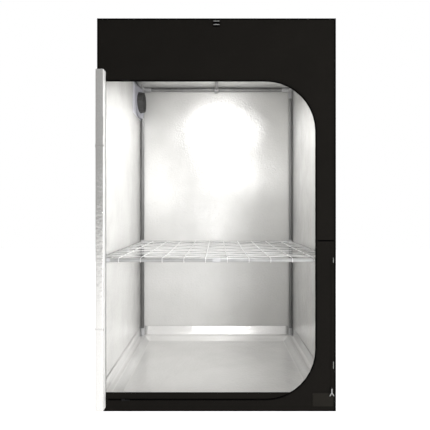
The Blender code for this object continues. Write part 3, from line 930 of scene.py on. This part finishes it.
def add_knots(bm, places):
    """A knot wherever two cords cross."""
    for x in places:
        for y in places:
            level = cord_level + sag(x, y)
            knot = bmesh.ops.create_icosphere(bm, subdivisions=1, radius=cord_radius * knot_share)
            for vert in knot["verts"]:
                a, b, up = vert.co
                vert.co = (x + a * knot_width_share, y + b * knot_width_share, level + up * knot_height_share)


def make_net():
    """Braided cords both ways, over and under, knotted where they cross and tied thinly round the bars."""
    places = [(i - (net_cords - 1) / 2) * net_pitch for i in range(net_cords)]
    section = circle(cord_radius, 8)
    bm = bmesh.new()
    for axis in (0, 1):
        for number, across in enumerate(places):
            span = woven_span(across, 1 if (number + axis) % 2 else -1)
            line = bar_hook(-1)[::-1] + span + bar_hook(1)
            path = [(across, along, z) if axis else (along, across, z) for along, z in line]
            last = len(path) - 1
            side = Vector((axis, 1 - axis, 0))
            sweep(bm, path, section, up=side, scale=lambda i: cord_share(i, last))
    add_knots(bm, places)
    orient(bm)
    obj = new_object("net_cords", bm, (cord_cloth,), "net_shelf", 60)
    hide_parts("net")


# Duct port


def sleeve_ring(bm, share, layer):
    """The gathered sleeve's outline at a share of its length, as far in as the layer says."""
    x = sleeve_low.x + (sleeve_high.x - sleeve_low.x) * share
    hem = sleeve_hem if share > sleeve_hem_share else 0
    middle = port_radius * (1 - sleeve_taper_share * share**2) + hem - sleeve_inset
    ring = []
    for i in range(sleeve_points):
        turn = 2 * math.pi * i / sleeve_points
        wave = math.cos(sleeve_gathers * turn) - 1
        crease = noise.noise(Vector((math.cos(turn) * 5, math.sin(turn) * 5, share * 2.2)))
        radius = middle + share * (sleeve_gather * wave + sleeve_crease * (crease - 0.6)) - layer
        ring.append(bm.verts.new((x, port_y + radius * math.cos(turn), port_z + radius * math.sin(turn))))
    return ring


def make_duct_sleeve():
    """A tube of cloth, out along its outside and back along its inside, drawn into gathers."""
    bm = bmesh.new()
    shares = [row / sleeve_rows for row in range(sleeve_rows + 1)]
    rings = [sleeve_ring(bm, share, 0) for share in shares]
    rings += [sleeve_ring(bm, share, sleeve_thickness) for share in shares[::-1]]
    ring_faces(bm, rings, close_rings=True)
    orient(bm)
    obj = new_object("gathered_sleeve", bm, (sleeve_cloth,), "tent", 60)
    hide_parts("duct_sleeve")


def make_duct_collar():
    """The patch and the collar, sliced finely, with puckers round the sleeve."""
    bm = node_mesh("duct_flange")
    slice_mesh(bm, (1, 2), collar_cell)
    level = patch_low.x + patch_level
    bm.normal_update()
    for face in bm.faces:
        centre = face.calc_center_median()
        away = math.hypot(centre.y - port_y, min(0.0, centre.z - port_z))
        face.material_index = 1 if centre.x < level or away > collar_radius + collar_edge else 0
    for vert in bm.verts:
        if vert.co.x < level:
            continue
        across, up = vert.co.y - port_y, vert.co.z - port_z
        away = math.hypot(across, up)
        turn = math.atan2(up, across)
        fade = smoothstep((away - port_radius) / pucker_rise)
        fade *= smoothstep((collar_radius + pucker_rise - away) / pucker_fall)
        pucker = math.cos(collar_puckers * turn + 3 * noise.noise(Vector((turn, 5.0, 2.0))))
        vert.co.x += collar_pucker * fade * (0.6 + 0.4 * pucker)
    obj = new_object("duct_collar", bm, (flange_cloth, patch_cloth), "tent", 50)
    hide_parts("duct_flange")


def make_collar_stitches():
    """Stitches round the collar, inside its edge."""
    slope = collar_lean / (collar_radius + collar_back)
    radius = collar_radius - seam_inset
    points = []
    for i in range(seam_steps + 1):
        turn = math.pi + seam_turn * i / seam_steps
        y, z = port_y + radius * math.cos(turn), port_z + radius * math.sin(turn)
        lean = slope * (y - port_y + collar_radius)
        points.append((patch_low.x + clearance + collar_cloth + lean + seam_lift, y, z))
    bm = bmesh.new()
    stitch_line(bm, points, Vector((1, 0, 0)))
    new_object("collar_stitches", bm, (pale_thread,), "tent")


# Frame parts that keep their CAD shape


def finish_node(node, material, bevel=0.0, segments=2):
    """Gives a solid its material and, where it is moulded or cut, soft edges."""
    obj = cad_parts[node]
    obj.data.materials.clear()
    obj.data.materials.append(material)
    for polygon in obj.data.polygons:
        polygon.use_smooth = True
        polygon.material_index = 0
    if bevel:
        modifier = obj.modifiers.new("soft_edges", "BEVEL")
        modifier.width = bevel
        modifier.segments = segments
        modifier.limit_method = "ANGLE"
        modifier.angle_limit = math.radians(40)
    obj.data.set_sharp_from_angle(angle=math.radians(35))


def finish_frame():
    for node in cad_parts:
        if node.startswith(("upright_", "bottom_rail_", "top_rail_")) or node == "roof_bar":
            finish_node(node, tube_paint)
        elif node.startswith("net_bar_"):
            finish_node(node, bar_paint)
        elif node.startswith(("corner_", "net_clip_", "net_coupler_", "roof_bar_hook_")):
            finish_node(node, connector_plastic, connector_round)
        elif node.startswith("zip_") or node == "margin_zip_slider":
            finish_node(node, enamel, slider_round, 3)
        elif node == "margin_zip_pull":
            finish_node(node, pull_enamel, tab_round)
        elif node.startswith("margin_tab") or node == "top_tab":
            finish_node(node, zip_tape_cloth, tab_round)


def webbing_bar(bm, start, end, half):
    """A straight bar of webbing that stands off the front."""
    crown = half * bar_crown_share
    section = [(-half, 0), (-crown, bar_thickness), (crown, bar_thickness), (half, 0)]
    path = [start.lerp(end, i / bar_steps) for i in range(bar_steps + 1)]
    sweep(bm, path, section, up=outward)


def make_margin_bars():
    """A narrow pale bar of webbing down each tab on the margin."""
    bm = bmesh.new()
    for node in ("margin_tab_upper", "margin_tab_lower"):
        low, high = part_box(node)
        x, y = low.x + margin_bar_inset, low.y - clearance
        webbing_bar(bm, Vector((x, y, low.z)), Vector((x, y, high.z)), margin_bar_half)
    orient(bm)
    new_object("margin_bars", bm, (pale_cloth,), "tent")


def make_tab_bars():
    """Two pale bars of webbing, sewn across the top tab."""
    low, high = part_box("top_tab")
    middle, y = (low.x + high.x) / 2, low.y - clearance
    bm = bmesh.new()
    for z in tab_bar_heights:
        start, end = Vector((middle - tab_bar_reach, y, z)), Vector((middle + tab_bar_reach, y, z))
        webbing_bar(bm, start, end, tab_bar_half)
    orient(bm)
    new_object("tab_bars", bm, (pale_cloth,), "tent")


# Stage, light and camera


def seen_white():
    """The ground's white: a grey to light, that glows where the camera or a reflection sees it."""
    material = bpy.data.materials.new("stage_white")
    material.use_nodes = True
    tree = material.node_tree
    shader = tree.nodes["Principled BSDF"]
    shader.inputs["Base Color"].default_value = (stage_grey, stage_grey, stage_grey, 1)
    shader.inputs["Roughness"].default_value = 0.9
    shader.inputs["Emission Color"].default_value = (1, 1, 1, 1)
    path = tree.nodes.new("ShaderNodeLightPath")
    mirrored = math_node(tree, "MULTIPLY", path.outputs["Is Glossy Ray"], glossy_share)
    seen = math_node(tree, "MAXIMUM", path.outputs["Is Camera Ray"], mirrored)
    connect(tree, math_node(tree, "MULTIPLY", seen, stage_glow), shader.inputs["Emission Strength"])
    return material


def make_floor():
    bm = bmesh.new()
    bmesh.ops.create_grid(bm, x_segments=1, y_segments=1, size=stage_size)
    mesh = bpy.data.meshes.new("floor_stage")
    bm.to_mesh(mesh)
    bm.free()
    mesh.materials.append(seen_white())
    floor = bpy.data.objects.new("floor_stage", mesh)
    floor.location.z = -stage_drop
    bpy.context.collection.objects.link(floor)


def room_seen_by_metal(tree):
    """The white backdrop up to the horizon, and the greyer room above it."""
    place = tree.nodes.new("ShaderNodeTexCoord")
    split = tree.nodes.new("ShaderNodeSeparateXYZ")
    connect(tree, place.outputs["Generated"], split.inputs[0])
    room = tree.nodes.new("ShaderNodeMapRange")
    room.inputs["From Min"].default_value = -horizon_drop
    room.inputs["From Max"].default_value = 0.0
    room.inputs["To Min"].default_value = horizon_share
    room.inputs["To Max"].default_value = sky_share
    connect(tree, split.outputs[2], room.inputs["Value"])
    return room.outputs[0]


def make_world():
    """White to the camera, a room to metal, and a dim even light to all else."""
    world = bpy.data.worlds.new("studio")
    bpy.context.scene.world = world
    world.use_nodes = True
    tree = world.node_tree
    background = tree.nodes["Background"]
    background.inputs["Color"].default_value = (1, 1, 1, 1)
    path = tree.nodes.new("ShaderNodeLightPath")
    mirrored = path.outputs["Is Glossy Ray"]
    seen = math_node(tree, "MAXIMUM", path.outputs["Is Camera Ray"], path.outputs["Is Transmission Ray"])
    glossy = math_node(tree, "MULTIPLY", mirrored, room_seen_by_metal(tree))
    plain = math_node(tree, "MULTIPLY", math_node(tree, "SUBTRACT", 1.0, mirrored), ambient)
    strength = math_node(tree, "MAXIMUM", seen, math_node(tree, "ADD", glossy, plain))
    connect(tree, strength, background.inputs["Strength"])


def add_lamp(name, place, target, size, watts, glossy=True, diffuse=True):
    """An area lamp that the camera doesn't see. Without diffuse, only reflections show it."""
    light = bpy.data.lights.new(name, "AREA")
    light.shape = "RECTANGLE" if diffuse else "ELLIPSE"
    light.size, light.size_y = size
    light.energy = watts
    lamp = bpy.data.objects.new(name, light)
    lamp.location = place
    lamp.rotation_mode = "QUATERNION"
    lamp.rotation_quaternion = (Vector(target) - Vector(place)).to_track_quat("-Z", "Y")
    lamp.visible_camera = False
    lamp.visible_glossy = glossy
    lamp.visible_diffuse = diffuse
    bpy.context.collection.objects.link(lamp)


def make_lights():
    """Lamps round the tent, one under its roof, and those that make the back wall's bright patches."""
    add_lamp("key", (1.7, -4.4, 1.2), (-0.4, 0.0, 0.7), (1.3, 1.0), 170, glossy=False)
    add_lamp("side", (5.0, -4.2, 0.8), (-0.6, -0.2, 0.7), (1.4, 1.0), 345, glossy=False)
    add_lamp("behind", (-2.6, 4.6, 2.8), (0, 0, 0.9), (2, 2), 260, glossy=False)
    add_lamp("over", (0.1, -0.15, 1.86), (-0.15, 0.2, 0.2), (0.34, 0.26), 7)
    for name, x, z, width, height, watts in (
        ("high_patch", 0.0, 1.73, 0.5, 0.33, 1.4),
        ("middle_patch", 0.2, 1.36, 0.6, 0.36, 1.4),
        ("low_patch", 0.0, 0.92, 0.14, 0.14, 0.33),
        ("left_patch", -0.5, 1.24, 0.2, 0.6, 0.5),
    ):
        place, target = (x, patch_lamp_y, z), (x, patch_lamp_target_y, z)
        add_lamp(name, place, target, (width, height), watts, diffuse=False)


def make_camera():
    data = bpy.data.cameras.new("camera")
    data.sensor_width = sensor
    data.lens = focal_pixels / picture_width * sensor
    data.shift_x = -centre_right_pixels / picture_width
    data.shift_y = -horizon_up_pixels / picture_width
    camera = bpy.data.objects.new("camera", data)
    camera.location = (0, front - camera_distance, camera_height)
    camera.rotation_euler = (math.pi / 2, 0, 0)
    bpy.context.collection.objects.link(camera)
    bpy.context.scene.camera = camera


make_camera()
make_floor()
make_world()
make_lights()
make_panels()
make_tray()
make_binding()
make_front_stitches()
make_blank_patch()
make_door_zip()
make_margin_zip()
make_roll()
make_ties()
make_net()
make_duct_sleeve()
make_duct_collar()
make_collar_stitches()
finish_frame()
make_margin_bars()
make_tab_bars()

bpy.context.scene.view_settings.view_transform = "Standard"
